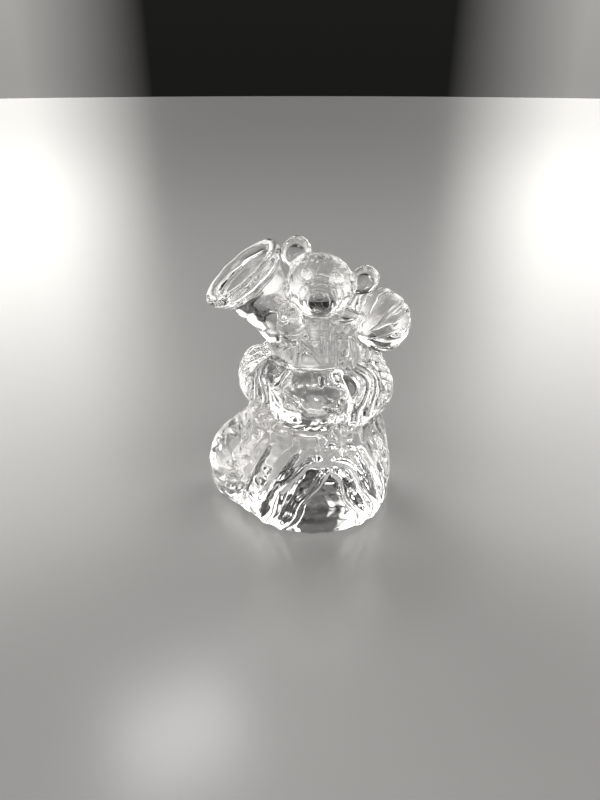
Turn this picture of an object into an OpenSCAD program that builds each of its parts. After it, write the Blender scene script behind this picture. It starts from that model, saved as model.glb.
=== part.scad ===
// Solid crystal figurine: a toy sack with a fur cuff, a sprig of berries,
// a teddy bear, a horn and a ball. Millimetres, +Z up, the front faces -Y.
// The origin is the middle of the flat base. The real figurine is one casting:
// each node is one sculpted form, and it sits in a pocket of the form behind it.

/* [Sack] */
// Middle of the round part of the sack, left to right
sack_x = 4.8; // [3:0.1:7]
// Radius of the sack where it meets the base
foot_r = 27.2; // [25:0.1:29]
// Largest radius of the sack
belly_r = 28.3; // [27:0.1:30]
// Height of the largest radius
belly_z = 10; // [7:0.5:13]
// Radius of the gathered neck
neck_r = 22.8; // [20:0.1:25]
// Height of the gathered neck
neck_z = 36; // [34:0.5:38]
// Middle of the side bulge
bulge_pos = [-15.6, 4, 9.5]; // [-20:0.1:20]
// Half sizes of the side bulge
bulge_r = [18.2, 17, 19.8]; // [15:0.1:22]
// Radius of a drape fold at its foot
fold_foot_r = 2.2; // [1.5:0.1:2.6]
// Radius of a drape fold under the sprig
fold_top_r = 1.3; // [1:0.1:1.6]
// How far the foot of a drape fold sinks into the sack
fold_sink = 1.3; // [0.8:0.1:1.6]

/* [Cuff] */
// Middle of the cuff, left to right
cuff_x = 5.4; // [3:0.1:7]
// Height of the middle of the cuff
cuff_z = 45.5; // [44:0.1:47]
// Radius of the middle of the roll
roll_ring_r = 16.5; // [15:0.1:17]
// Radius of the roll itself
roll_r = 7; // [6:0.1:8]
// Height of the straight part of the roll
roll_flat = 7; // [5:0.5:8]
// Distance of a fur lobe from the middle of the cuff
lobe_ring_r = 18.7; // [18:0.1:19.5]

/* [Sprig] */
// Middle of the largest berry
berry_top_pos = [13.2, -23.3, 37.6]; // [-30:0.1:45]
// Middle of the long berry on the left
berry_left_pos = [6.8, -24.6, 34]; // [-30:0.1:45]
// Middle of the small berry on the right
berry_right_pos = [15.3, -23.4, 31.2]; // [-30:0.1:45]
// Middle of the knot between the berries
knot_pos = [10.1, -24.3, 32.3]; // [-30:0.1:45]

/* [Bear] */
// Middle of the head
head_pos = [6.3, -4, 79.5]; // [-5:0.1:82]
// Radius of the head
head_r = 10.4; // [9.6:0.1:10.8]
// Middle of the muzzle
muzzle_pos = [5.5, -13, 78.8]; // [-14:0.1:80]
// Radius of the muzzle
muzzle_r = 5.7; // [5:0.1:6]
// Middle of the torso
torso_pos = [5.2, -4.5, 60]; // [-5:0.1:62]
// Radius of the torso at the hips
torso_r = 9.8; // [9:0.1:10.5]
// Radius of an ear
ear_r = 4.9; // [4:0.1:5.2]
// Half of the thickness of an ear
ear_t = 2.4; // [1.8:0.1:2.6]
// Radius of the hollow in an ear
ear_cup_r = 3.1; // [2:0.1:3.4]
// Radius of an eye
eye_r = 1.8; // [1.2:0.1:2]
// Radius of the nose
nose_r = 1.4; // [1:0.1:1.6]

/* [Horn] */
// Middle of the horn's mouth
mouth_pos = [-18.4, 0, 82.9]; // [-20:0.1:84]
// Lean of the horn from upright
horn_lean = 38; // [34:0.5:42]
// Compass heading of the horn's mouth
horn_turn = -168; // [-175:1:-160]
// Radius of the mouth
mouth_r = 14; // [12:0.1:14.5]
// Radius of the throat
throat_r = 7.6; // [6:0.1:8]
// Length over which the flare dies away
flare_len = 9; // [6:0.5:12]
// Length of the bell
bell_len = 24; // [20:0.5:26]
// Depth of the dished mouth
dish_depth = 3.9; // [2:0.1:3.9]

/* [Ball] */
// Middle of the toy ball
ball_pos = [26, 4, 65.2]; // [0:0.1:70]
// Radius of the toy ball
ball_r = 10.9; // [9:0.1:11.5]

/* [Hidden] */
$fn = 48;
big = 200;
glass = [0.86, 0.89, 0.9, 0.55];
steps = 10;
// A rod that carries on from another starts this much thinner
overlap = 0.95;

// Radius of the sack at height z
function sack_r(z) = z < belly_z
  ? belly_r - (belly_r - foot_r) * pow((belly_z - z) / belly_z, 2)
  : belly_r - (belly_r - neck_r) * pow((z - belly_z) / (neck_z - belly_z), 1.6);
// Point at a depth under the sack's surface, at an angle to the right of the front
function in_sack(a, z, depth) = [sack_x + (sack_r(z) - depth) * sin(a), -(sack_r(z) - depth) * cos(a), z];
// Radius of the bell at distance s behind its mouth
function bell_r(s) = throat_r + (mouth_r - throat_r) * exp(-s / flare_len);

// Egg with half sizes r, tilted, with its middle at p
module egg(p, r, tilt = [0, 0, 0]) {
  translate(p) rotate(tilt) scale(r) sphere(1);
}

// Tapered rod with round ends, turned as one piece
module rod(a, b, ra, rb) {
  d = b - a;
  len = norm(d);
  translate(a) rotate([0, acos(d[2] / len), atan2(d[1], d[0])]) rotate_extrude() {
    intersection() {
      circle(ra);
      translate([0, -ra]) square([ra, ra]);
    }
    polygon([[0, 0], [ra, 0], [rb, len], [0, len]]);
    translate([0, len]) intersection() {
      circle(rb);
      square(rb);
    }
  }
}

// Everything above the surface that the figurine stands on
module above_base() {
  translate([-big / 2, -big / 2, 0]) cube(big);
}

// ---- Sack ----
module sack_round() {
  rotate_extrude($fn = 96)
    polygon(concat([[0, 0]], [for (i = [0:steps]) let (z = i * neck_z / steps) [sack_r(z), z]], [[0, neck_z]]));
}
module bulge_shape() {
  egg(bulge_pos, bulge_r, $fn = 64);
}
module sack_belly() {
  color(glass) translate([sack_x, 0, 0]) sack_round();
}
module sack_side_bulge() {
  color(glass) difference() {
    intersection() {
      bulge_shape();
      above_base();
    }
    translate([sack_x, 0, 0]) sack_round();
  }
}

// Drape folds that arch over the front of the sack:
// [angle at the top, angle half way down, angle at the foot, height of the top]
LEFT_OUTER = [2, -26, -38, 28.5];
LEFT_INNER = [7, -11, -24, 24.5];
RIGHT_INNER = [14, 27, 38, 24.5];
RIGHT_OUTER = [13, 39, 50, 28.5];
module fold_shape(f) {
  top = in_sack(f[0], f[3], 0);
  mid = in_sack(f[1], f[3] / 2, fold_sink / 4);
  foot = in_sack(f[2], fold_foot_r * 0.6, fold_sink);
  mid_r = (fold_top_r + fold_foot_r) / 2;
  intersection() {
    union() {
      rod(top, mid, fold_top_r, mid_r);
      rod(mid, foot, mid_r * overlap, fold_foot_r);
    }
    above_base();
  }
}
module sack_fold(f) {
  color(glass) difference() {
    fold_shape(f);
    translate([sack_x, 0, 0]) sack_round();
  }
}

// ---- Cuff ----
// A roll of fur with lobes round it. The lobe's angle runs from the front towards the right.
module roll_shape() {
  translate([cuff_x, 0, cuff_z]) rotate_extrude($fn = 96) {
    translate([roll_ring_r, roll_flat / 2]) circle(roll_r);
    translate([roll_ring_r, -roll_flat / 2]) circle(roll_r);
    translate([roll_ring_r - roll_r, -roll_flat / 2]) square([2 * roll_r, roll_flat]);
  }
}
module cuff_roll() {
  color(glass) difference() {
    roll_shape();
    translate([sack_x, 0, 0]) sack_round();
    heap_shape();
  }
}
// A wedge that keeps a lobe between its neighbours, from angle a0 to a1
module wedge(a0, a1) {
  am = (a0 + a1) / 2;
  translate([cuff_x, 0, 0]) linear_extrude(big)
    polygon([[0, 0], big * [sin(a0), -cos(a0)], 2 * big * [sin(am), -cos(am)], big * [sin(a1), -cos(a1)]]);
}
// Each lobe: [angle, half sizes, height, the two angles that it lies between]
LOBE_FRONT = [-8, [12, 7.6, 8.8], 46.2, -32, 18];
LOBE_FRONT_LEFT = [-51, [8, 7.2, 10.6], 44.2, -69, -32];
LOBE_LEFT = [-88, [8.4, 7.4, 10.4], 47, -115, -69];
LOBE_FRONT_RIGHT = [42, [9, 7.2, 10.6], 46.5, 18, 62];
LOBE_RIGHT = [82, [8.6, 7.4, 10.4], 44.5, 62, 102];
LOBE_BACK_RIGHT = [122, [8.8, 7.4, 10.6], 46.5, 102, 143];
LOBE_BACK = [165, [9.2, 7.3, 10.5], 46.2, 143, 191];
LOBE_BACK_LEFT = [218, [9, 7.4, 10.6], 46.5, 191, 245];
module cuff_lobe(lobe) {
  angle = lobe[0];
  at = [cuff_x + lobe_ring_r * sin(angle), -lobe_ring_r * cos(angle), lobe[2]];
  color(glass) difference() {
    intersection() {
      egg(at, lobe[1], [0, 0, angle]);
      wedge(lobe[3], lobe[4]);
    }
    roll_shape();
  }
}

// ---- Sprig ----
module berry_top() {
  egg(berry_top_pos, [4.1, 3.2, 4.1]);
}
module berry_left() {
  egg(berry_left_pos, [2.4, 2.6, 3.9]);
}
module berry_right() {
  egg(berry_right_pos, [2.9, 2.6, 2.8]);
}
module knot_shape() {
  egg(knot_pos, [1.7, 1.6, 1.7]);
}
module tail_shape() {
  rod(knot_pos + [-1.3, 0.6, -1.6], knot_pos + [-2.5, -1, -6], 1.9, 0.6);
}
module sprig_berry_top() {
  color(glass) berry_top();
}
module sprig_berry_left() {
  color(glass) berry_left();
}
module sprig_berry_right() {
  color(glass) difference() {
    berry_right();
    berry_top();
  }
}
module sprig_knot() {
  color(glass) difference() {
    knot_shape();
    berry_left();
    berry_top();
  }
}
module sprig_tail() {
  color(glass) difference() {
    tail_shape();
    knot_shape();
    berry_left();
  }
}

// ---- Toys behind the bear ----
module heap_shape() {
  egg([8.5, 3, 53], [19, 13.5, 12], $fn = 64);
}
module toy_heap() {
  color(glass) difference() {
    heap_shape();
    translate([sack_x, 0, 0]) sack_round();
    torso_shape();
    tube_shape();
    egg(ball_pos, ball_r * [1, 1, 1]);
  }
}
module toy_ball() {
  color(glass) translate(ball_pos) sphere(ball_r, $fn = 64);
}

// ---- Bear ----
EAR_LEFT = head_pos + [-7.5, 3, 10.1];
EAR_RIGHT = head_pos + [13.7, 3, 1.1];
NOSE = muzzle_pos + [0, -5.3, 2.4];
EYE_LEFT = head_pos + [-4.6, -8.2, 6.4];
EYE_RIGHT = head_pos + [5, -8.2, 4.7];
SHOULDER_LEFT = [-4.5, -9, 74];
WRIST_LEFT = [-9.6, -6.8, 75.4];
SHOULDER_RIGHT = [11.5, -7.5, 72];
ELBOW_RIGHT = [19.2, -9, 71.4];
WRIST_RIGHT = [13.5, -9.5, 65];
module ear_shape(p) {
  translate(p) rotate([90, 0, 0]) rotate_extrude() {
    translate([0, -ear_t]) square([ear_r - ear_t, 2 * ear_t]);
    intersection() {
      translate([ear_r - ear_t, 0]) circle(ear_t);
      translate([0, -ear_t]) square([ear_r, 2 * ear_t]);
    }
  }
}
module ear(p) {
  color(glass) difference() {
    ear_shape(p);
    translate(p - [0, ear_t + ear_cup_r * 0.6, 0]) sphere(ear_cup_r);
  }
}
module torso_shape() {
  rod(torso_pos - [0, 0, 4], torso_pos + [0, 0, 4.5], torso_r, torso_r * 0.88);
}
module head_shape() {
  translate(head_pos) rotate([90, 0, 0]) sphere(head_r, $fn = 64);
}
module muzzle_shape() {
  translate(muzzle_pos) sphere(muzzle_r);
}
module nose_shape() {
  translate(NOSE) sphere(nose_r);
}
module eye_left_shape() {
  translate(EYE_LEFT) sphere(eye_r);
}
module eye_right_shape() {
  translate(EYE_RIGHT) sphere(eye_r);
}
module arm_left_shape() {
  rod([-2.8, -10, 72], [-3.2, -11, 67.4], 4.2, 4.1);
  rod(SHOULDER_LEFT, WRIST_LEFT, 2.6, 2.2);
}
module arm_right_shape() {
  rod(SHOULDER_RIGHT, ELBOW_RIGHT, 3.6, 1.3);
  rod(ELBOW_RIGHT, WRIST_RIGHT, 1.3 * overlap, 2.4);
}
module paw_left_shape() {
  rod([-11.6, -6.8, 74.9], [-10.4, -6.4, 75.5], 2.8, 2.7);
}
module paw_right_shape() {
  rod([15.3, -10.3, 56.6], [15.3, -10.6, 60.6], 4.3, 4);
}
module bear_torso() {
  color(glass) difference() {
    torso_shape();
    head_shape();
    arm_left_shape();
    arm_right_shape();
    paw_right_shape();
  }
}
module bear_head() {
  color(glass) difference() {
    head_shape();
    muzzle_shape();
    eye_left_shape();
    eye_right_shape();
    ear_shape(EAR_LEFT);
    ear_shape(EAR_RIGHT);
  }
}
module bear_ear_left() {
  ear(EAR_LEFT);
}
module bear_ear_right() {
  ear(EAR_RIGHT);
}
module bear_muzzle() {
  color(glass) difference() {
    muzzle_shape();
    nose_shape();
  }
}
module bear_nose() {
  color(glass) nose_shape();
}
module bear_eye_left() {
  color(glass) eye_left_shape();
}
module bear_eye_right() {
  color(glass) eye_right_shape();
}
module bear_arm_left() {
  color(glass) difference() {
    arm_left_shape();
    paw_left_shape();
    head_shape();
  }
}
module bear_paw_left() {
  color(glass) paw_left_shape();
}
module bear_arm_right() {
  color(glass) difference() {
    arm_right_shape();
    paw_right_shape();
    head_shape();
  }
}
module bear_paw_right() {
  color(glass) paw_right_shape();
}

// ---- Horn ----
// The horn is drawn with its mouth at the top of the Z axis, then leaned over.
module lean_horn() {
  translate(mouth_pos) rotate([0, horn_lean, horn_turn]) children();
}
module bell_shape() {
  lean_horn() rotate_extrude($fn = 96)
    polygon(concat([[0, 0]], [for (i = [0:steps]) let (s = i * bell_len / steps) [bell_r(s), -s]], [[0, -bell_len]]));
}
// Sphere that leaves a dish of the given depth and nearly the mouth's width
module dish() {
  a = mouth_r - 3.2;
  r = (a * a + dish_depth * dish_depth) / (2 * dish_depth);
  lean_horn() translate([0, 0, r - dish_depth]) sphere(r, $fn = 96);
}
module rim_shape() {
  lean_horn() translate([0, 0, -0.6]) rotate_extrude($fn = 96) translate([mouth_r - 1.4, 0]) circle(1.9);
}
module tube_shape() {
  lean_horn() translate([0, 0, -bell_len - 12]) cylinder(h = 12, r = throat_r);
}
module horn_bell() {
  color(glass) difference() {
    bell_shape();
    dish();
    rim_shape();
    paw_left_shape();
    ear_shape(EAR_LEFT);
  }
}
module horn_rim() {
  color(glass) rim_shape();
}
module horn_tube() {
  color(glass) difference() {
    tube_shape();
    roll_shape();
    torso_shape();
  }
}

sack_belly();
sack_side_bulge();
sack_fold(LEFT_OUTER);  // sack_fold_left_outer
sack_fold(LEFT_INNER);  // sack_fold_left_inner
sack_fold(RIGHT_INNER);  // sack_fold_right_inner
sack_fold(RIGHT_OUTER);  // sack_fold_right_outer
cuff_roll();
cuff_lobe(LOBE_FRONT);  // cuff_lobe_front
cuff_lobe(LOBE_FRONT_LEFT);  // cuff_lobe_front_left
cuff_lobe(LOBE_LEFT);  // cuff_lobe_left
cuff_lobe(LOBE_FRONT_RIGHT);  // cuff_lobe_front_right
cuff_lobe(LOBE_RIGHT);  // cuff_lobe_right
cuff_lobe(LOBE_BACK_RIGHT);  // cuff_lobe_back_right
cuff_lobe(LOBE_BACK);  // cuff_lobe_back
cuff_lobe(LOBE_BACK_LEFT);  // cuff_lobe_back_left
sprig_berry_top();
sprig_berry_left();
sprig_berry_right();
sprig_knot();
sprig_tail();
toy_heap();
bear_torso();
bear_head();
bear_ear_left();
bear_ear_right();
bear_muzzle();
bear_nose();
bear_eye_left();
bear_eye_right();
bear_arm_left();
bear_paw_left();
bear_arm_right();
bear_paw_right();
horn_bell();
horn_rim();
horn_tube();
toy_ball();
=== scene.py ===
"""A solid crystal figurine: a teddy bear, a horn and a ball in a toy sack with a fur cuff.

The glass is one casting. Each sculpted form is a distance formula, placed by its CAD node.
The formulas are blended with fire-polished fillets, meshed once on one grid, and the mesh is
split into one closed piece for each node. Neighbours share their vertices, and the faces
where they meet inside the glass are fully clear, so light passes as it does in one casting.
Lengths are in millimetres up to the point where a mesh is made.
"""

import bpy
import numpy as np
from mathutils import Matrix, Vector


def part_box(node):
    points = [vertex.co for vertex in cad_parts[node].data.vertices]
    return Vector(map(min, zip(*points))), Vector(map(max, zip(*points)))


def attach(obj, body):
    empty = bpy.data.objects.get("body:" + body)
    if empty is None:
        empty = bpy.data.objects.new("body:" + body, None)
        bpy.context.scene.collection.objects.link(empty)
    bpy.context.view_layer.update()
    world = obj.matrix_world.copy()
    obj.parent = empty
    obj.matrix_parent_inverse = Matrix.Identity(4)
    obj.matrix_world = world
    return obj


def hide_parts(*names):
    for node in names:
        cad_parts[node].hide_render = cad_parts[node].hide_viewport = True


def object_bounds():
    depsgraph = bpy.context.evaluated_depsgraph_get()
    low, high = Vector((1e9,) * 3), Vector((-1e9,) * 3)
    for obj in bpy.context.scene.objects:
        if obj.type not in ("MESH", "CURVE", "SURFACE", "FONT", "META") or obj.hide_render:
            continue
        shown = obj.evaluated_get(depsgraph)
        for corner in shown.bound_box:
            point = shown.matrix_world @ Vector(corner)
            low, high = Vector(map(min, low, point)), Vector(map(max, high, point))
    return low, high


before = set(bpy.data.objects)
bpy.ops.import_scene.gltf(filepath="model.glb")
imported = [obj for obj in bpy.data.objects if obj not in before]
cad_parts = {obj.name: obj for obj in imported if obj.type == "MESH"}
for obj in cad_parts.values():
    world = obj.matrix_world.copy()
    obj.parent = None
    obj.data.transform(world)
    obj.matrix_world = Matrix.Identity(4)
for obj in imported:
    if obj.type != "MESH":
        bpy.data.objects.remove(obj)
cad_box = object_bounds()

MM = 0.001
VOXEL = 0.45
FAR = 50.0                          # distance given to points that no form reaches
OUTSIDE = -1                        # label of a grid point outside the glass
TINY = 1e-6                         # keeps a length above zero before it divides

# ---------------------------------------------------------------- places, from the frame

SPANS = {}
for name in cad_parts:
    low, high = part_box(name)
    SPANS[name] = np.array(low) / MM, np.array(high) / MM


def spot(node, x=0.0, y=0.0, z=0.0):
    """Middle of a CAD node's box, moved by x, y and z."""
    low, high = SPANS[node]
    return (low + high) / 2 + np.array([x, y, z])


def half(node):
    """Half sizes of a CAD node's box."""
    low, high = SPANS[node]
    return (high - low) / 2


# ---------------------------------------------------------------- distance formulas


def turn(axis, degrees):
    """Rotation matrix about one world axis."""
    a = np.radians(degrees)
    c, s = np.cos(a), np.sin(a)
    return {"x": np.array([[1, 0, 0], [0, c, -s], [0, s, c]]),
            "y": np.array([[c, 0, s], [0, 1, 0], [-s, 0, c]]),
            "z": np.array([[c, -s, 0], [s, c, 0], [0, 0, 1]])}[axis]


def egg(p, middle, radii, axes=None):
    """Ellipsoid; the columns of axes are its own directions."""
    q = p - np.asarray(middle, float)
    if axes is not None:
        q = q @ axes
    r = np.asarray(radii, float)
    k0 = np.sqrt(((q / r) ** 2).sum(-1))
    k1 = np.sqrt(((q / (r * r)) ** 2).sum(-1))
    return k0 * (k0 - 1) / np.maximum(k1, TINY)


def rod(p, a, b, ra, rb):
    """Tapered rod with round ends."""
    a, b = np.asarray(a, float), np.asarray(b, float)
    d = b - a
    q = p - a
    t = np.clip((q @ d) / (d @ d), 0, 1)
    return np.linalg.norm(q - t[:, None] * d, axis=-1) - (ra + (rb - ra) * t)


def join(a, b, k):
    """Union, with a smooth seam where the two distances differ by less than k."""
    h = np.maximum(k - np.abs(a - b), 0) / k
    return np.minimum(a, b) - h * h * k * 0.25


def cut(a, b, k):
    """a without b, with a rounded edge."""
    return -join(-a, b, k)


def wrap(degrees):
    """Angle brought to between -180 and 180."""
    return (degrees + 180) % 360 - 180


def axes_along(n):
    """Two directions across n, and n itself, as columns."""
    n = np.asarray(n, float) / np.linalg.norm(n)
    u = np.cross([0, 0, 1.0], n)
    u /= np.linalg.norm(u)
    return np.stack([u, np.cross(n, u), n], 1)


FORMS = {}


def form(node, fillet):
    """Keeps a distance formula as the shape of a CAD node, with the fillet that joins it on."""
    def keep(formula):
        FORMS[node] = (formula, fillet)
        return formula
    return keep


# ---------------------------------------------------------------- sack

SACK = spot("sack_belly")
BELLY_R = half("sack_belly")[0]
BELLY_Z = 10.0
FOOT_IN = 1.1                       # how far the foot pulls in below the belly
NECK_IN = 5.5                       # how far the neck pulls in above it
NECK_Z = SPANS["sack_belly"][1][2]
BASE_EDGE = 1.6                     # rounding of the edge round the flat base

# Drape folds that arch over the front: angle at the top, angle at the foot, top height, and how
# early they turn outwards. Angles run from the front towards the right, in degrees.
FOLDS = {
    "sack_fold_left_outer": (2, -38, 28.5, 0.5),
    "sack_fold_left_inner": (7, -24, 24.5, 0.8),
    "sack_fold_right_inner": (14, 38, 24.5, 0.9),
    "sack_fold_right_outer": (12, 50, 28.5, 0.5),
}
FOLD_TOP_R = 1.3
FOLD_FOOT_R = 2.2
FOLD_SINK = 1.5                     # how far a fold's foot sinks back into the sack
FOLD_SWAY = 1.5                     # how far a fold wavers on its way down, in degrees
SLOPE_EASE = 0.94                   # scales a steep formula down to a true distance
# Valleys between the folds: angle at the neck, angle at the foot, depth, width
VALLEYS = [(-1, -31, 1.1, 3.5), (20, 44, 1.1, 3.5), (-12, -48, 1.5, 4.5), (30, 62, 1.4, 4.5),
           (-38, -66, 1.6, 4.5), (-66, -88, 1.2, 5), (52, 82, 1.4, 5), (76, 98, 1.1, 5),
           (100, 112, 1.2, 6), (128, 140, 1.3, 6), (152, 168, 1.2, 6), (-172, -164, 1.2, 6),
           (-146, -138, 1.3, 6), (-118, -112, 1.2, 6)]


def sack_radius(z):
    """Radius of the round sack at height z, before its drape."""
    z = np.clip(z, 0, NECK_Z)
    below = BELLY_R - FOOT_IN * (np.maximum(BELLY_Z - z, 0) / BELLY_Z) ** 2
    above = NECK_IN * (np.maximum(z - BELLY_Z, 0) / (NECK_Z - BELLY_Z)) ** 1.6
    return below - above


def around_sack(p):
    """Distance from the sack's axis, angle from the front, and height."""
    x, y = p[:, 0] - SACK[0], p[:, 1] - SACK[1]
    return np.hypot(x, y), np.degrees(np.arctan2(x, -y)), p[:, 2]


def on_floor(f, p):
    """f cut off flat at the base, with a rounded edge."""
    return cut(f, p[:, 2], BASE_EDGE)


@form("sack_belly", fillet=0.8)
def sack_belly(p):
    """The round sack, with valleys of drape that fade at its neck and its foot."""
    rho, angle, z = around_sack(p)
    radius = sack_radius(z)
    down = np.clip((NECK_Z - 4 - z) / (NECK_Z - 4), 0, 1)
    fade = np.clip((NECK_Z - z) / 6, 0, 1) * np.clip(z / 9, 0.1, 1)
    drape = 0.0
    for neck, foot, depth, width in VALLEYS:
        line = neck + (foot - neck) * down ** 0.75
        across = np.radians(wrap(angle - line)) * radius
        drape = drape + depth * np.exp(-(across / (width * 0.42)) ** 2)
    side = (rho - radius + drape * fade) * SLOPE_EASE
    return cut(on_floor(side, p), NECK_Z - z, 1.5)


@form("sack_side_bulge", fillet=3.0)
def sack_side_bulge(p):
    """The bulge low on the left, with upright flutes that fade out towards its top."""
    middle = spot("sack_side_bulge", 8.4, -0.3, -4.9)
    angle = np.radians(around_sack(p)[1]) + 0.12 * np.sin(p[:, 2] * 0.35)
    flutes = 0.4 * np.abs(np.sin(angle * 9)) * np.clip(1 - (p[:, 2] - 8) / 22, 0, 1)
    return on_floor(egg(p, middle, (18.2, 17.0, 19.8)) + flutes, p)


def drape_fold(p, top_angle, foot_angle, top_z, early):
    """A round ridge that runs down the sack and outwards, and sinks into it at the foot."""
    rho, angle, z = around_sack(p)
    down = np.clip((top_z - z) / top_z, 0, 1)
    line = top_angle + (foot_angle - top_angle) * down ** early + FOLD_SWAY * np.sin(down * 11)
    across = np.radians(wrap(angle - line)) * BELLY_R
    lean = np.radians(foot_angle - top_angle) * BELLY_R / top_z
    over = np.maximum(z - top_z, 0)
    out = rho - sack_radius(z) + 0.3 + FOLD_SINK * down ** 2
    near = np.sqrt((across / np.hypot(1, lean)) ** 2 + out ** 2 + over ** 2)
    return near - (FOLD_TOP_R + (FOLD_FOOT_R - FOLD_TOP_R) * down)


for node, course in FOLDS.items():
    form(node, fillet=0.35)(lambda p, c=course: on_floor(drape_fold(p, *c), p))

# ---------------------------------------------------------------- cuff

CUFF = spot("cuff_roll", z=-0.5)
ROLL_RING_R = half("cuff_roll")[0] - 7.0
LOBE_RING_R = 18.7
STRAND = 4.2                        # spacing of the wavy strands of fur

# Half sizes of each lobe along the cuff, outwards and up, then the depth of its strands and its
# fillet. The front lobe is smooth and flows into the cuff.
LOBES = {
    "cuff_lobe_front": (12.4, 7.2, 8.8, 0.1, 1.3),
    "cuff_lobe_front_left": (8.0, 7.2, 10.8, 0.6, 0.6),
    "cuff_lobe_left": (8.4, 7.4, 10.4, 0.8, 0.6),
    "cuff_lobe_front_right": (9.0, 7.2, 10.6, 0.7, 0.6),
    "cuff_lobe_right": (8.6, 7.4, 10.4, 0.8, 0.6),
    "cuff_lobe_back_right": (8.8, 7.4, 10.6, 0.7, 0.6),
    "cuff_lobe_back": (9.2, 7.4, 10.4, 0.7, 0.6),
    "cuff_lobe_back_left": (9.0, 7.4, 10.6, 0.7, 0.6),
}


@form("cuff_roll", fillet=1.2)
def cuff_roll(p):
    """The plain ring under the fur, taller than it is wide."""
    q = p - CUFF
    ring = np.stack([np.hypot(q[:, 0], q[:, 1]) - ROLL_RING_R, q[:, 2]], -1)
    return egg(ring, (0, 0), (7.5, 10.5))


def fur_lobe(p, node, half_sizes, depth):
    """One tuft of the cuff, with nested wavy strands."""
    away = spot(node) - CUFF
    angle = np.arctan2(away[0], -away[1])
    out = np.array([np.sin(angle), -np.cos(angle), 0])
    along = np.array([np.cos(angle), np.sin(angle), 0])
    axes = np.stack([along, out, np.array([0, 0, 1.0])], 1) @ turn("x", 4)
    middle = CUFF + out * LOBE_RING_R
    middle[2] = spot(node)[2]
    q = (p - middle) @ axes
    sweep = q[:, 0] + 3.0 * np.sin(q[:, 2] * 0.3 + angle * 3) + 0.04 * q[:, 2] ** 2
    strands = np.abs(np.sin(sweep * np.pi / STRAND))
    return egg(q, (0, 0, 0), half_sizes) - depth * (strands - 0.6)


for node, (*half_sizes, depth, lobe_fillet) in LOBES.items():
    form(node, lobe_fillet)(lambda p, n=node, r=half_sizes, d=depth: fur_lobe(p, n, r, d))

# ---------------------------------------------------------------- sprig


def berry(p, node, ribs=0.0, rib_count=0):
    """A round berry with a dimple on its front and ribs round it."""
    middle, r = spot(node), half(node)
    q = p - middle
    angle = np.arctan2(q[:, 0], q[:, 2])
    f = egg(p, middle, r) + ribs * np.abs(np.sin(angle * rib_count / 2))
    dimple = egg(p, middle - np.array([0, r[1] * 1.1, 0]), r * np.array([0.45, 0.4, 0.45]))
    bead = egg(p, middle - np.array([0, r[1] * 0.8, 0]), r * np.array([0.2, 0.25, 0.2]))
    return join(cut(f, dimple, 0.2), bead, 0.1)


form("sprig_berry_top", fillet=0.15)(lambda p: berry(p, "sprig_berry_top", 0.6, 6))
form("sprig_berry_left", fillet=0.15)(lambda p: berry(p, "sprig_berry_left", 0.6, 8))
form("sprig_berry_right", fillet=0.15)(lambda p: berry(p, "sprig_berry_right"))
form("sprig_knot", fillet=0.5)(lambda p: egg(p, spot("sprig_knot", x=-0.1), (1.7, 1.6, 1.7)))


@form("sprig_tail", fillet=0.5)
def sprig_tail(p):
    """The tapered tail that hangs from the knot."""
    return rod(p, spot("sprig_tail", z=1.6), spot("sprig_tail", -1.2, -0.8, -2.8), 1.9, 0.6)


# ---------------------------------------------------------------- toys behind the bear

BALL = spot("toy_ball")
BALL_R = half("toy_ball")[0]
BALL_AXES = axes_along((-0.62, -0.74, -0.26))
BALL_PANELS = 10
GROOVE_DEPTH = 1.3


@form("toy_heap", fillet=1.6)
def toy_heap(p):
    """The toys that fill the sack's mouth, as lumps with creases between them."""
    q = p - spot("toy_heap")
    sweep = q[:, 0] * 0.9 + 1.5 * np.sin(q[:, 2] * 0.45)
    lumps = np.abs(np.sin(sweep)) + np.abs(np.sin(q[:, 2] * 0.7 + q[:, 1] * 0.5))
    return egg(p, spot("toy_heap"), half("toy_heap")) + 0.35 * (1.2 - lumps)


@form("toy_ball", fillet=0.8)
def toy_ball(p):
    """A ball of panels that meet in grooves at two poles."""
    q = (p - BALL) @ BALL_AXES
    reach = np.maximum(np.linalg.norm(q, axis=-1), TINY)
    round_off = 1 - (q[:, 2] / reach) ** 2
    groove = 1 - np.abs(np.sin(BALL_PANELS / 2 * np.arctan2(q[:, 1], q[:, 0])))
    return (reach - BALL_R + GROOVE_DEPTH * round_off * groove ** 2) * 0.9


# ---------------------------------------------------------------- bear

HEAD = spot("bear_head", y=-0.5)
MUZZLE = spot("bear_muzzle")
HEAD_TILT = turn("y", 13)
BROW_AT = (-8.1, 6.0)               # the brow's middle, in front of and above the head's
BROW_LEAN = np.radians(36)
BROW_HALF = (2.6, 0.45, 3.0)        # half sizes across, outwards and upwards
BROW_TAPER = 0.15                   # how much each side draws in for each mm upwards
BROW_ROUNDING = 0.25


@form("bear_torso", fillet=0.8)
def bear_torso(p):
    """The body, with ribs of fur down its right side and a knot of creases low on its left."""
    f = egg(p, spot("bear_torso", z=1.2), (10.2, 9.2, 13.0))
    q = p - spot("bear_torso")
    beside = np.clip(1 - np.abs(q[:, 0] - 3.8) / 3.2, 0, 1) * np.clip(1 - np.abs(q[:, 2] - 6) / 8, 0, 1)
    f = f + 0.6 * np.cos(q[:, 0] * 2 * np.pi / 1.9) * np.sqrt(beside)
    knot = spot("bear_torso", -5.0, -8.6, 6.2)
    for end in ((-10.4, -6.6, 3.4), (-7.2, -7.6, -6.0), (1.8, -9.0, -0.5)):
        f = join(f, rod(p, knot, spot("bear_torso", *end), 0.9, 1.3), 0.2)
    return f


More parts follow.
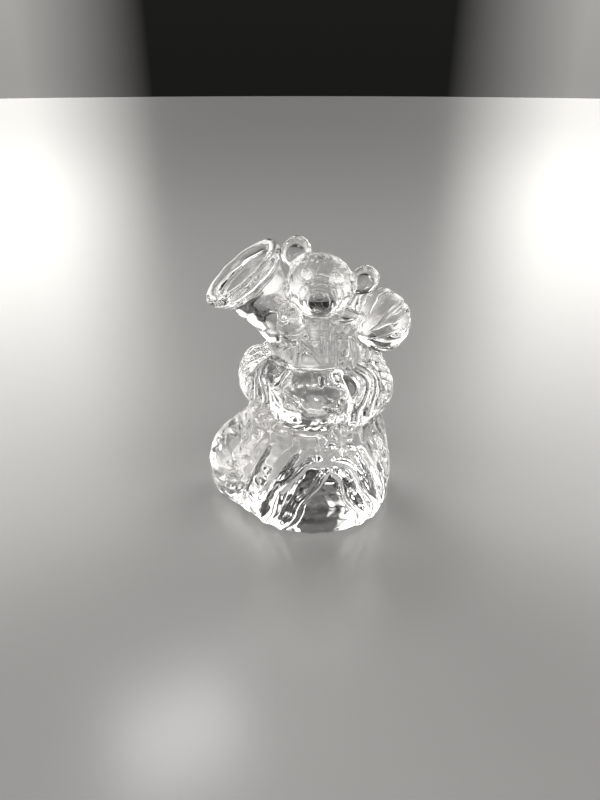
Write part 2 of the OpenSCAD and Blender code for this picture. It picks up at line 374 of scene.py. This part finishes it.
@form("bear_head", fillet=0.8)
def bear_head(p):
    """The head, with fur round the face, a raised brow, eye sockets and a groove round the muzzle."""
    q = (p - HEAD) @ HEAD_TILT
    beside = np.clip((np.hypot(q[:, 0], q[:, 2]) - 6.5) / 2, 0, 1)
    strands = np.abs(np.sin(np.arctan2(q[:, 0], q[:, 2]) * 13 + 2 * np.sin(q[:, 1] * 0.7)))
    f = egg(p, HEAD, (10.7, 10.0, 10.3), HEAD_TILT) + 0.22 * beside * (strands - 0.4)
    f = join(f, brow(q), 0.25)
    for eye in ("bear_eye_left", "bear_eye_right"):
        f = cut(f, egg(p, spot(eye, y=-0.6), (2.9, 3.2, 3.6), HEAD_TILT), 0.3)
    m = (p - MUZZLE) @ HEAD_TILT
    groove = np.hypot(np.hypot(m[:, 0], m[:, 2] * 1.17) - 7.0, m[:, 1] - 0.4) - 1.3
    return cut(f, groove, 0.3)


def brow(q):
    """A raised plate between the eyes, wider at its foot; q is in the head's own directions."""
    s, c = np.sin(BROW_LEAN), np.cos(BROW_LEAN)
    y, z = q[:, 1] - BROW_AT[0], q[:, 2] - BROW_AT[1]
    rise = z * c + y * s
    depth = z * s - y * c
    across = np.abs(q[:, 0]) - BROW_HALF[0] + BROW_TAPER * rise
    d = np.stack([across, np.abs(depth) - BROW_HALF[1], np.abs(rise) - BROW_HALF[2]], -1)
    return np.linalg.norm(np.maximum(d, 0), axis=-1) + np.minimum(d.max(-1), 0) - BROW_ROUNDING


def ear(p, node, lean):
    """A round ear with a hollow in front."""
    axes = turn("y", lean)
    middle = spot(node)
    rim = egg(p, middle, (4.5, 2.9, 5.1), axes)
    hollow = egg(p, middle + axes @ np.array([0, -3.3, -0.2]), (3.1, 2.9, 3.3), axes)
    button = egg(p, middle + axes @ np.array([0, -1.2, 2.9]), (1.0, 1.0, 0.8), axes)
    return join(cut(rim, hollow, 0.8), button, 0.4)


form("bear_ear_left", fillet=0.9)(lambda p: ear(p, "bear_ear_left", 30))
form("bear_ear_right", fillet=0.9)(lambda p: ear(p, "bear_ear_right", 60))


@form("bear_muzzle", fillet=0.3)
def bear_muzzle(p):
    """A round muzzle with a groove round its front and a dimple for the mouth."""
    f = egg(p, MUZZLE, (6.2, 5.6, 5.3), HEAD_TILT)
    q = (p - MUZZLE) @ HEAD_TILT
    ring = np.hypot(np.hypot(q[:, 0], q[:, 2]) - 4.0, q[:, 1] + 4.3) - 0.7
    mouth = egg(q, (0.3, -5.4, -2.2), (1.8, 1.5, 1.1))
    return cut(cut(f, ring, 0.4), mouth, 0.4)


form("bear_nose", fillet=0.3)(lambda p: egg(p, spot("bear_nose"), (1.5, 1.1, 1.3), HEAD_TILT))
for eye in ("bear_eye_left", "bear_eye_right"):
    form(eye, fillet=0.15)(lambda p, n=eye: egg(p, spot(n, y=0.2), (1.7, 1.8, 1.8)))


@form("bear_arm_left", fillet=0.25)
def bear_arm_left(p):
    """The upper arm, with creases in its fur near the elbow, and the raised forearm."""
    upper = egg(p, spot("bear_arm_left", 1.2, -0.5, -0.8), (4.3, 4.4, 6.4))
    low = p[:, 2] - spot("bear_arm_left", z=-3.6)[2]
    creases = 0.5 * np.cos(low * 2 * np.pi / 1.8) * np.exp(-(low / 1.7) ** 2)
    forearm = rod(p, spot("bear_arm_left", -0.2, 1.0, 3.6), spot("bear_arm_left", -5.4, 3.2, 5.0), 2.6, 2.2)
    return join(upper + creases, forearm, 1.2)


form("bear_paw_left", fillet=0.3)(
    lambda p: egg(p, spot("bear_paw_left"), (3.4, 2.6, 2.9), turn("y", 30)))


@form("bear_arm_right", fillet=0.25)
def bear_arm_right(p):
    """The bent arm: out to the elbow and back down to the paw."""
    elbow = spot("bear_arm_right", 4.7, -1.0, 2.7)
    upper = rod(p, spot("bear_arm_right", -3.0, 0.5, 3.3), elbow, 3.6, 1.3)
    lower = rod(p, elbow, spot("bear_arm_right", -1.0, -1.5, -3.7), 1.3, 2.4)
    return join(upper, lower, 0.8)


@form("bear_paw_right", fillet=0.25)
def bear_paw_right(p):
    """A hanging paw with grooves between its toes."""
    middle = spot("bear_paw_right", y=-0.2)
    q = p - middle
    toes = 0.4 * np.cos(q[:, 0] * 2 * np.pi / 2.6) * np.clip((2 - q[:, 2]) / 4, 0, 1)
    return egg(p, middle, (4.2, 4.6, 6.4)) + toes


# ---------------------------------------------------------------- horn

HORN_LEAN = 38                      # from upright, in degrees
HORN_TURN = -168                    # compass heading of the mouth
HORN_AXIS = turn("z", HORN_TURN) @ turn("y", HORN_LEAN) @ np.array([0, 0, 1.0])
MOUTH = spot("horn_rim") + 0.6 * HORN_AXIS
MOUTH_R, THROAT_R = 14.0, 7.6
FLARE = 9.0                         # length over which the flare dies away
BELL_LEN = 26.0


def around_horn(p):
    """Distance behind the mouth, and distance from the horn's axis."""
    q = p - MOUTH
    behind = -(q @ HORN_AXIS)
    return behind, np.linalg.norm(q + behind[:, None] * HORN_AXIS, axis=-1)


@form("horn_bell", fillet=0.8)
def horn_bell(p):
    """The flared bell, with a dish in its mouth that is turned with shallow rings."""
    behind, rho = around_horn(p)
    flare = THROAT_R + (MOUTH_R - THROAT_R) * np.exp(-np.maximum(behind, -2) / FLARE)
    f = (rho - flare) * 0.9
    f = cut(f, behind + 0.5, 1.5)
    f = cut(f, BELL_LEN - behind, 2)
    dish = egg(p, MOUTH + HORN_AXIS * 2.5, (11.6, 11.6, 8.0), axes_along(HORN_AXIS))
    return cut(f, dish + 0.3 * np.cos(rho * 2 * np.pi / 2.8), 0.6)


@form("horn_rim", fillet=0.5)
def horn_rim(p):
    """The thick rolled edge and a thin bead behind it."""
    behind, rho = around_horn(p)
    edge = np.hypot(behind - 0.6, rho - MOUTH_R + 1.4) - 1.9
    bead = np.hypot(behind - 3.6, rho - MOUTH_R + 2.6) - 0.7
    return np.minimum(edge, bead)


@form("horn_tube", fillet=1.5)
def horn_tube(p):
    """The tube that carries on from the bell down into the sack."""
    return rod(p, MOUTH - HORN_AXIS * 22, MOUTH - HORN_AXIS * 34 - np.array([0, 0, 6]), 7.4, 7.0)


# ---------------------------------------------------------------- the whole casting

RECESS_R = 13.5                     # shallow round hollow under the base
RECESS_DEPTH = 0.6
RIPPLE = 0.05                       # height of the faint waves of a fire-polished surface


def reach_box(node):
    """Where a node's formula can still change the casting."""
    fillet = FORMS[node][1]
    margin = 2 * fillet + 1.5
    low, high = SPANS[node]
    return low - margin, high + margin


def finish_surface(f, p):
    """The faint ripple, the flat base and the hollow under it."""
    upright = np.sin(p[:, 0] * 1.1 + 1.7 * np.sin(p[:, 2] * 0.4))
    level = np.sin(p[:, 2] * 1.3 + 1.9 * np.sin(p[:, 1] * 0.5))
    f = f + RIPPLE * (upright + level)
    f = np.maximum(f, -p[:, 2])
    ball_r = (RECESS_R ** 2 + RECESS_DEPTH ** 2) / (2 * RECESS_DEPTH)
    hollow = np.linalg.norm(p - np.array([0, -2, RECESS_DEPTH - ball_r]), axis=-1) - ball_r
    return cut(f, hollow, 0.3)


def casting(p):
    """Distance to the surface of the whole casting."""
    f = np.full(len(p), FAR)
    for node, (formula, fillet) in FORMS.items():
        low, high = reach_box(node)
        at = np.flatnonzero(((p > low) & (p < high)).all(-1))
        if len(at):
            f[at] = join(f[at], formula(p[at]), 2 * fillet)
    return finish_surface(f, p)


def slope(p):
    """Gradient of the casting's distance."""
    h = 0.03
    steps = np.eye(3) * h
    return np.stack([casting(p + s) - casting(p - s) for s in steps], -1) / (2 * h)


def sample_grid():
    """The casting's distance and the nearest form's index on a grid, with the grid's axes."""
    low = np.array(cad_box[0]) / MM - 3 * VOXEL
    high = np.array(cad_box[1]) / MM + 3 * VOXEL
    axes = [np.arange(a, b + VOXEL, VOXEL) for a, b in zip(low, high)]
    shape = [len(a) for a in axes]
    f = np.full(shape, FAR)
    nearest = np.full(shape, FAR)
    label = np.zeros(shape, np.int16)
    for index, (node, (formula, fillet)) in enumerate(FORMS.items()):
        box = reach_box(node)
        part = tuple(slice(np.searchsorted(a, lo), np.searchsorted(a, hi)) for a, lo, hi in zip(axes, *box))
        block = [a[s] for a, s in zip(axes, part)]
        p = np.stack(np.meshgrid(*block, indexing="ij"), -1)
        d = formula(p.reshape(-1, 3)).reshape(p.shape[:3])
        f[part] = join(f[part], d, 2 * fillet)
        closer = d < nearest[part]
        nearest[part][closer] = d[closer]
        label[part][closer] = index
    p = np.stack(np.meshgrid(*axes, indexing="ij"), -1)
    f = finish_surface(f.ravel(), p.reshape(-1, 3)).reshape(shape)
    label[f >= 0] = OUTSIDE
    return f, label, axes


def corners(grid):
    """The eight corner values of every cell."""
    ends = (slice(None, -1), slice(1, None))
    return np.stack([grid[i, j, k] for i in ends for j in ends for k in ends])


def cell_points(f, cells, axes):
    """The mean point where the surface crosses the edges of each cell, or else its middle."""
    total = np.zeros((len(cells), 3))
    count = np.zeros(len(cells))
    for axis in range(3):
        others = [a for a in range(3) if a != axis]
        for u in (0, 1):
            for v in (0, 1):
                start = cells.copy()
                start[:, others[0]] += u
                start[:, others[1]] += v
                end = start.copy()
                end[:, axis] += 1
                fa, fb = f[tuple(start.T)], f[tuple(end.T)]
                crossing = (fa < 0) != (fb < 0)
                t = np.where(crossing, fa / np.where(crossing, fa - fb, 1), 0)
                point = start.astype(float)
                point[:, axis] += t
                total[crossing] += point[crossing]
                count[crossing] += 1
    points = np.where(count[:, None] > 0, total / np.maximum(count, 1)[:, None], cells + 0.5)
    origin = np.array([a[0] for a in axes])
    return origin + points * VOXEL


def cell_quads(label, index):
    """One quad for each grid edge between two labels, facing the higher end, with both labels."""
    around = {0: [(0, -1, -1), (0, 0, -1), (0, 0, 0), (0, -1, 0)],
              1: [(-1, 0, -1), (-1, 0, 0), (0, 0, 0), (0, 0, -1)],
              2: [(-1, -1, 0), (0, -1, 0), (0, 0, 0), (-1, 0, 0)]}
    quads, sides = [], []
    for axis, offsets in around.items():
        near = np.take(label, range(label.shape[axis] - 1), axis)
        far = np.take(label, range(1, label.shape[axis]), axis)
        at = np.argwhere(near != far)
        quads.append(np.stack([index[tuple((at + o).T)] for o in offsets], -1))
        sides.append(np.stack([near[tuple(at.T)], far[tuple(at.T)]], -1))
    return np.concatenate(quads), np.concatenate(sides)


def settle(points, free, quads, rounds):
    """Moves the free points to the mean of their neighbours, so that inner faces lie smooth."""
    ends = np.concatenate([quads[:, [0, 1]], quads[:, [1, 2]], quads[:, [2, 3]], quads[:, [3, 0]]])
    ends = np.concatenate([ends, ends[:, ::-1]])
    count = np.bincount(ends[:, 0], minlength=len(points))
    for _ in range(rounds):
        sums = np.stack([np.bincount(ends[:, 0], points[ends[:, 1], a], len(points)) for a in range(3)], -1)
        points[free] = (sums / np.maximum(count, 1)[:, None])[free]


def cast():
    """Points, their normals, quads and the labels on both sides of each quad."""
    f, label, axes = sample_grid()
    ring = corners(label)
    mixed = ring.min(0) != ring.max(0)
    cells = np.argwhere(mixed)
    index = np.full(mixed.shape, -1, np.int64)
    index[mixed] = np.arange(len(cells))
    outer = ring.min(0)[mixed] == OUTSIDE
    points = cell_points(f, cells, axes)
    quads, sides = cell_quads(label, index)
    for _ in range(4):
        p = points[outer]
        g = slope(p)
        move = casting(p)[:, None] * g / np.maximum((g * g).sum(-1), 0.2)[:, None]
        points[outer] = p - np.clip(move, -VOXEL / 2, VOXEL / 2)
    settle(points, ~outer, quads, 12)
    normals = slope(points)
    normals /= np.maximum(np.linalg.norm(normals, axis=-1), TINY)[:, None]
    return points, normals, quads, sides


# ---------------------------------------------------------------- materials


def crystal_material():
    """Clear crystal: polished, with faint waves and slight changes of polish."""
    m = bpy.data.materials.new("polished_crystal")
    m.use_nodes = True
    nodes, links = m.node_tree.nodes, m.node_tree.links
    shader = nodes["Principled BSDF"]
    shader.inputs["Transmission Weight"].default_value = 1.0
    shader.inputs["IOR"].default_value = 1.54
    where = nodes.new("ShaderNodeTexCoord")

    def noise(scale, detail):
        n = nodes.new("ShaderNodeTexNoise")
        n.inputs["Scale"].default_value = scale
        n.inputs["Detail"].default_value = detail
        links.new(where.outputs["Object"], n.inputs["Vector"])
        return n.outputs["Fac"]

    def ranged(value, low, high):
        r = nodes.new("ShaderNodeMapRange")
        r.inputs["To Min"].default_value = low
        r.inputs["To Max"].default_value = high
        links.new(value, r.inputs["Value"])
        return r.outputs["Result"]

    tint = nodes.new("ShaderNodeMix")
    tint.data_type = "RGBA"
    tint.inputs["A"].default_value = (0.985, 0.985, 0.975, 1)
    tint.inputs["B"].default_value = (1.0, 1.0, 1.0, 1)
    links.new(noise(60, 2), tint.inputs["Factor"])
    links.new(tint.outputs["Result"], shader.inputs["Base Color"])
    links.new(ranged(noise(90, 3), 0.0, 0.025), shader.inputs["Roughness"])
    bump = nodes.new("ShaderNodeBump")
    bump.inputs["Strength"].default_value = 0.15
    bump.inputs["Distance"].default_value = 0.1 * MM
    links.new(noise(380, 1), bump.inputs["Height"])
    links.new(bump.outputs["Normal"], shader.inputs["Normal"])
    return m


def inside_material():
    """Fully clear, for the faces where two forms of the one casting meet."""
    m = bpy.data.materials.new("inside_of_the_casting")
    m.use_nodes = True
    shader = m.node_tree.nodes["Principled BSDF"]
    shader.inputs["Alpha"].default_value = 0.0
    shader.inputs["Specular IOR Level"].default_value = 0.0
    return m


def studio_material(name, colour, roughness):
    """Matt paper or card with a faint grain."""
    m = bpy.data.materials.new(name)
    m.use_nodes = True
    nodes, links = m.node_tree.nodes, m.node_tree.links
    shader = nodes["Principled BSDF"]
    shader.inputs["Base Color"].default_value = colour
    shader.inputs["Roughness"].default_value = roughness
    where = nodes.new("ShaderNodeTexCoord")
    grain = nodes.new("ShaderNodeTexNoise")
    grain.inputs["Scale"].default_value = 900
    links.new(where.outputs["Object"], grain.inputs["Vector"])
    bump = nodes.new("ShaderNodeBump")
    bump.inputs["Strength"].default_value = 0.1
    bump.inputs["Distance"].default_value = 0.1 * MM
    links.new(grain.outputs["Fac"], bump.inputs["Height"])
    links.new(bump.outputs["Normal"], shader.inputs["Normal"])
    return m


# ---------------------------------------------------------------- pieces


def make_piece(node, number, points, normals, quads, sides, materials):
    """The closed mesh of one form, which stands for its CAD node."""
    ahead, behind = sides[:, 0] == number, sides[:, 1] == number
    faces = np.concatenate([quads[ahead], quads[behind][:, ::-1]])
    beyond = np.concatenate([sides[ahead, 1], sides[behind, 0]])
    used, local = np.unique(faces, return_inverse=True)
    mesh = bpy.data.meshes.new(node + "_glass")
    mesh.from_pydata((points[used] * MM).tolist(), [], local.reshape(-1, 4).tolist())
    for material in materials:
        mesh.materials.append(material)
    mesh.polygons.foreach_set("material_index", (beyond != OUTSIDE).astype(np.int32))
    mesh.polygons.foreach_set("use_smooth", np.ones(len(faces), bool))
    mesh.normals_split_custom_set_from_vertices(normals[used].tolist())
    piece = bpy.data.objects.new(node + "_glass", mesh)
    bpy.context.scene.collection.objects.link(piece)
    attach(piece, "root")
    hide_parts(node)
    return piece


def make_figurine():
    """One closed piece for each form of the casting."""
    points, normals, quads, sides = cast()
    materials = [crystal_material(), inside_material()]
    for number, node in enumerate(FORMS):
        make_piece(node, number, points, normals, quads, sides, materials)


# ---------------------------------------------------------------- studio

CAMERA_BACK = 0.191
CAMERA_UP = 0.1388
CAMERA_DIP = 28                     # degrees below level
LENS = 27.9
PANELS = 5                          # soft panels of light round the room
PANEL_EDGE = (-0.5, 0.3)            # where a panel fades out and where it is full, as a cosine
GAP_SHADE = 0.03                    # how bright the gaps between panels are
PANEL_TURN = np.pi / 2             # puts the gap between two panels straight behind the figurine
WARM = np.array([1.0, 0.98, 0.94])  # tint of the panels
# Sine of the height above the horizon, and how bright the room is there
WORLD_SHADES = [(0.0, 0.35), (0.10, 0.4), (0.14, 3.5), (0.55, 3.5), (0.65, 0.05), (1.0, 0.03)]


def make_floor():
    """A wide round floor."""
    bpy.ops.mesh.primitive_circle_add(vertices=96, radius=4.0, fill_type="NGON")
    floor = bpy.context.object
    floor.name = "floor"
    floor.location.z = -0.05 * MM
    floor.data.materials.append(studio_material("pale_floor", (0.47, 0.47, 0.47, 1), 0.22))


def soft_light(name, place, size, power):
    """An area light that faces the figurine."""
    data = bpy.data.lights.new(name, "AREA")
    data.shape = "RECTANGLE"
    data.size, data.size_y = size
    data.energy = power
    lamp = bpy.data.objects.new(name, data)
    lamp.location = place
    aim = Vector((0, 0, 0.045)) - Vector(place)
    lamp.rotation_euler = aim.to_track_quat("-Z", "Y").to_euler()
    bpy.context.scene.collection.objects.link(lamp)


def make_world():
    """A dim room with tall soft panels of light all round, above the horizon."""
    world = bpy.data.worlds.new("studio")
    bpy.context.scene.world = world
    world.use_nodes = True
    nodes, links = world.node_tree.nodes, world.node_tree.links
    where = nodes.new("ShaderNodeTexCoord")
    split = nodes.new("ShaderNodeSeparateXYZ")
    links.new(where.outputs["Generated"], split.inputs["Vector"])

    def math(operation, a, b):
        n = nodes.new("ShaderNodeMath")
        n.operation = operation
        for value, socket in zip((a, b), n.inputs):
            if isinstance(value, (int, float)):
                socket.default_value = value
            else:
                links.new(value, socket)
        return n.outputs["Value"]

    ramp = nodes.new("ShaderNodeValToRGB")
    while len(ramp.color_ramp.elements) < len(WORLD_SHADES):
        ramp.color_ramp.elements.new(0.5)
    for element, (place, shade) in zip(ramp.color_ramp.elements, WORLD_SHADES):
        element.position = place
        element.color = (*(shade * WARM), 1)
    links.new(split.outputs["Z"], ramp.inputs["Fac"])
    heading = math("ARCTAN2", split.outputs["Y"], split.outputs["X"])
    wave = math("COSINE", math("ADD", math("MULTIPLY", heading, PANELS), PANEL_TURN), 0)
    panel = nodes.new("ShaderNodeMapRange")
    for socket, value in zip(("From Min", "From Max", "To Min", "To Max"), (*PANEL_EDGE, GAP_SHADE, 1.0)):
        panel.inputs[socket].default_value = value
    links.new(wave, panel.inputs["Value"])
    mixed = nodes.new("ShaderNodeMix")
    mixed.data_type = "RGBA"
    mixed.blend_type = "MULTIPLY"
    mixed.inputs["Factor"].default_value = 1
    links.new(ramp.outputs["Color"], mixed.inputs["A"])
    links.new(panel.outputs["Result"], mixed.inputs["B"])
    links.new(mixed.outputs["Result"], nodes["Background"].inputs["Color"])


def make_camera():
    """The camera, in front of the figurine and looking down at it."""
    data = bpy.data.cameras.new("camera")
    data.lens = LENS
    data.clip_start = 0.01
    camera = bpy.data.objects.new("camera", data)
    camera.location = (0, -CAMERA_BACK, CAMERA_UP)
    camera.rotation_euler = (np.radians(90 - CAMERA_DIP), 0, 0)
    bpy.context.scene.collection.objects.link(camera)
    bpy.context.scene.camera = camera


def make_studio():
    make_camera()
    make_floor()
    make_world()
    soft_light("top", (-0.15, 0.3, 0.6), (0.15, 0.1), 0.5)
    bpy.context.scene.view_settings.view_transform = "Standard"
    cycles = bpy.context.scene.cycles
    cycles.max_bounces = 32
    cycles.transmission_bounces = 32
    cycles.glossy_bounces = 8
    cycles.transparent_max_bounces = 96
    cycles.use_denoising = True


make_figurine()
make_studio()
